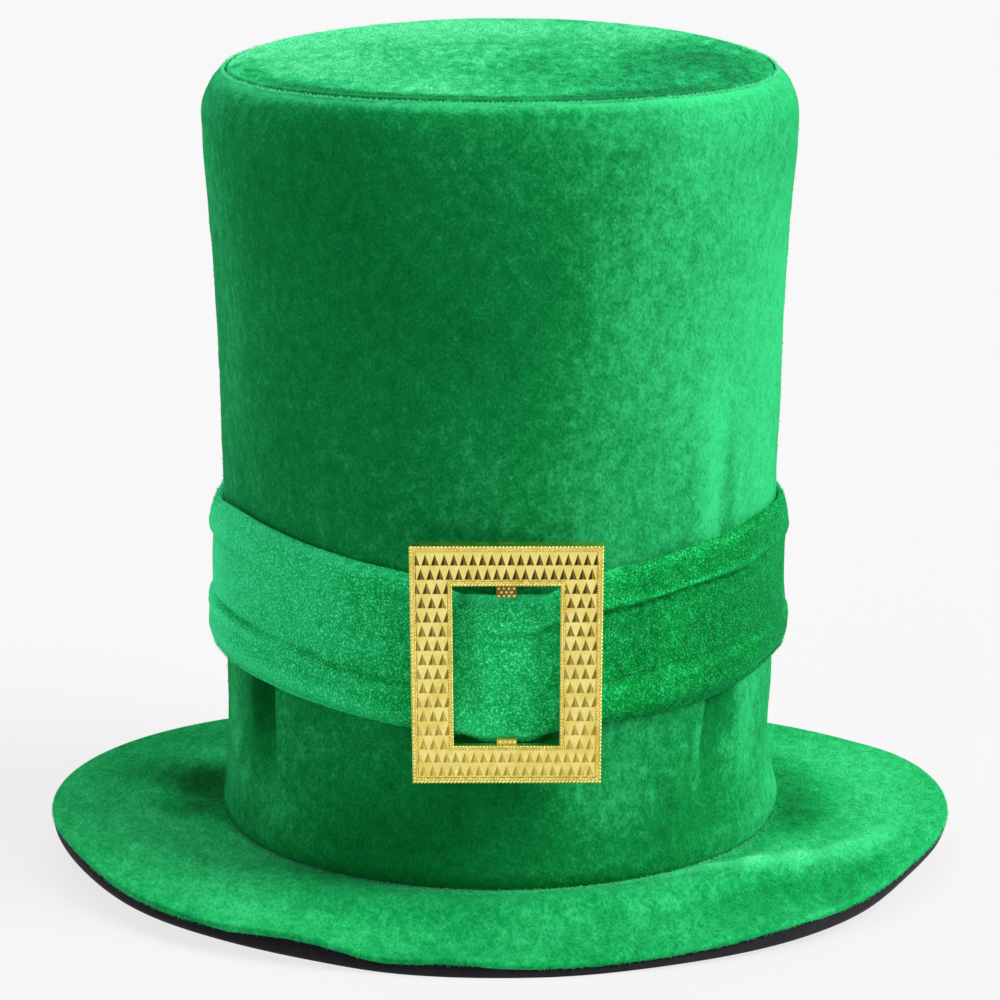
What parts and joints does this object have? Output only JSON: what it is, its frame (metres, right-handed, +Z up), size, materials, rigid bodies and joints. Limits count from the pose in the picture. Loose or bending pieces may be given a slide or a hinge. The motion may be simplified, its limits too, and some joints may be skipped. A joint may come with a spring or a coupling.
{
  "type": "leprechaun hat",
  "caption": "Tall flared costume hat in green velvet with an upturned oval brim, a loose hat band and a square studded slide buckle.",
  "frame": {"origin": "middle of the surface that the brim rests on, under the middle of the brim", "axes": "+Z up through the crown, -Y towards the buckle at the front, +X to the right as seen from the front"},
  "size_m": [0.306, 0.318, 0.269],
  "materials": {
    "velvet": "green crushed velvet, soft pile",
    "velour": "green velour, short glossy pile",
    "lining": "black cloth, matt",
    "gold": "bright gold metallised casting with darker hollows"
  },
  "bodies": {
    "root": {"crown_side": "velvet", "crown_tip": "velvet", "brim_upper": "velvet", "brim_lining": "lining", "hat_band": "velour", "buckle": "gold"}
  },
  "joints": []
}
